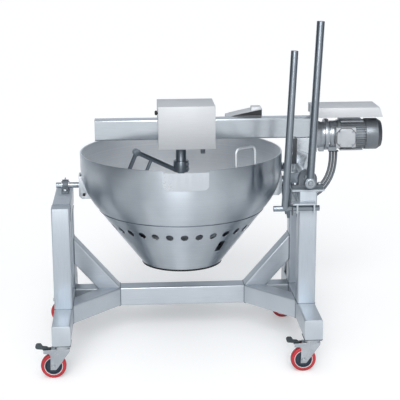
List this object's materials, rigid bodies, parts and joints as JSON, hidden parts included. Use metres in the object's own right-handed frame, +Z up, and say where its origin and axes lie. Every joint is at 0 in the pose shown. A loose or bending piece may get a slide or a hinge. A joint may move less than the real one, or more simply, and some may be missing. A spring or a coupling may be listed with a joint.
{
  "type": "tilting cooking mixer with a scraper arm",
  "caption": "Castored tube frame with a tilting dished cooking bowl over a vented burner skirt and a motor-driven scraper on a lifting arm, worked by upright levers.",
  "frame": {"origin": "on the floor, below the middle of the footprint of the whole machine", "axes": "+X to the motor side, seen from the front, +Y to the back, +Z up"},
  "size_m": [1.789, 1.16, 1.705],
  "materials": {
    "brushed": "satin brushed stainless steel",
    "polished": "bright polished stainless steel",
    "block_grey": "grey painted casting",
    "black_ring": "heat-blackened",
    "gear_grey": "grey painted casting",
    "motor_silver": "silver painted casting",
    "zinc": "zinc plated",
    "red_tread": "red polyurethane with a dark blue hub",
    "white_blade": "white PTFE",
    "cable_grey": "grey sheath"
  },
  "bodies": {
    "frame": {"left_foot": "brushed", "right_foot": "brushed", "centre_beam": "brushed", "left_diagonal": "brushed", "right_diagonal": "brushed", "left_brace": "brushed", "right_brace": "brushed", "rear_struts": "brushed", "left_front_post": "brushed", "right_front_post": "brushed", "left_centre_post": "brushed", "right_centre_post": "brushed", "left_top_tube": "brushed", "right_top_tube": "brushed", "pot_shelf": "brushed", "bearing_stands": "brushed", "pot_block_left": "block_grey", "pot_block_right": "block_grey", "arm_block_front": "block_grey", "arm_block_rear": "block_grey", "block_bolts": "zinc", "lever_bracket": "brushed", "castor_plates": "zinc", "cables": "cable_grey"},
    "pot": {"bowl": "polished", "skirt": "brushed", "base_ring": "black_ring", "pouring_lip": "polished", "rim_handle": "polished", "pot_brackets": "polished", "trunnion_pins": "polished", "burner": "black_ring"},
    "arm": {"arm_beam": "brushed", "arm_neck": "brushed", "head_cover": "brushed", "gearbox": "gear_grey", "arm_shaft": "polished", "long_lever": "polished", "reducer": "gear_grey", "motor_body": "motor_silver", "terminal_box": "motor_silver", "fan_cover": "motor_silver", "motor_hood": "brushed", "control_box": "brushed"},
    "stirrer": {"stirrer_shaft": "polished", "stirrer_arm": "polished", "scraper_bar": "polished", "scraper_blades": "white_blade"},
    "lock_lever_body": {"lock_lever": "polished"},
    "fork_fl": {"castor_fork_fl": "zinc"},
    "wheel_fl": {"castor_wheel_fl": "red_tread"},
    "fork_fr": {"castor_fork_fr": "zinc"},
    "wheel_fr": {"castor_wheel_fr": "red_tread"},
    "fork_rl": {"castor_fork_rl": "zinc"},
    "wheel_rl": {"castor_wheel_rl": "red_tread"},
    "fork_rr": {"castor_fork_rr": "zinc"},
    "wheel_rr": {"castor_wheel_rr": "red_tread"},
    "pedal_l": {"brake_pedal_l": "zinc"},
    "pedal_r": {"brake_pedal_r": "zinc"}
  },
  "joints": [
    {"name": "arm_lift", "type": "hinge", "parent": "frame", "child": "arm", "pos_m": [0.4625, 0.055, 0.918], "axis": [0, 1, 0], "range_deg": [0, 90], "deforming": ["cables"]},
    {"name": "pot_tilt", "type": "hinge", "parent": "frame", "child": "pot", "pos_m": [-0.1515, 0.055, 0.828], "axis": [1, 0, 0], "range_deg": [0, 85]},
    {"name": "stirrer_spin", "type": "hinge", "parent": "arm", "child": "stirrer", "pos_m": [-0.1515, 0.055, 0.92], "axis": [0, 0, 1], "continuous": true},
    {"name": "lock_lever_turn", "type": "hinge", "parent": "frame", "child": "lock_lever_body", "pos_m": [0.3985, -0.365, 0.787], "axis": [1, 0, 0], "range_deg": [0, 70]},
    {"name": "swivel_fl", "type": "hinge", "parent": "frame", "child": "fork_fl", "pos_m": [-0.7655, -0.53, 0.16], "axis": [0, 0, 1], "continuous": true},
    {"name": "roll_fl", "type": "hinge", "parent": "fork_fl", "child": "wheel_fl", "pos_m": [-0.8085, -0.53, 0.0625], "axis": [0, 1, 0], "continuous": true},
    {"name": "swivel_fr", "type": "hinge", "parent": "frame", "child": "fork_fr", "pos_m": [0.4625, -0.53, 0.16], "axis": [0, 0, 1], "continuous": true},
    {"name": "roll_fr", "type": "hinge", "parent": "fork_fr", "child": "wheel_fr", "pos_m": [0.4195, -0.53, 0.0625], "axis": [0, 1, 0], "continuous": true},
    {"name": "swivel_rl", "type": "hinge", "parent": "frame", "child": "fork_rl", "pos_m": [-0.7655, 0.256, 0.16], "axis": [0, 0, 1], "continuous": true},
    {"name": "roll_rl", "type": "hinge", "parent": "fork_rl", "child": "wheel_rl", "pos_m": [-0.8085, 0.256, 0.0625], "axis": [0, 1, 0], "continuous": true},
    {"name": "swivel_rr", "type": "hinge", "parent": "frame", "child": "fork_rr", "pos_m": [0.4625, 0.256, 0.16], "axis": [0, 0, 1], "continuous": true},
    {"name": "roll_rr", "type": "hinge", "parent": "fork_rr", "child": "wheel_rr", "pos_m": [0.4195, 0.256, 0.0625], "axis": [0, 1, 0], "continuous": true},
    {"name": "brake_l", "type": "hinge", "parent": "fork_fl", "child": "pedal_l", "pos_m": [-0.8355, -0.53, 0.14], "axis": [0, -1, 0], "range_deg": [0, 15]},
    {"name": "brake_r", "type": "hinge", "parent": "fork_fr", "child": "pedal_r", "pos_m": [0.3925, -0.53, 0.14], "axis": [0, -1, 0], "range_deg": [0, 15]}
  ],
  "couplings": [
    {"joint": "pot_tilt", "follows": "arm_lift", "ratio": 0.9444}
  ]
}
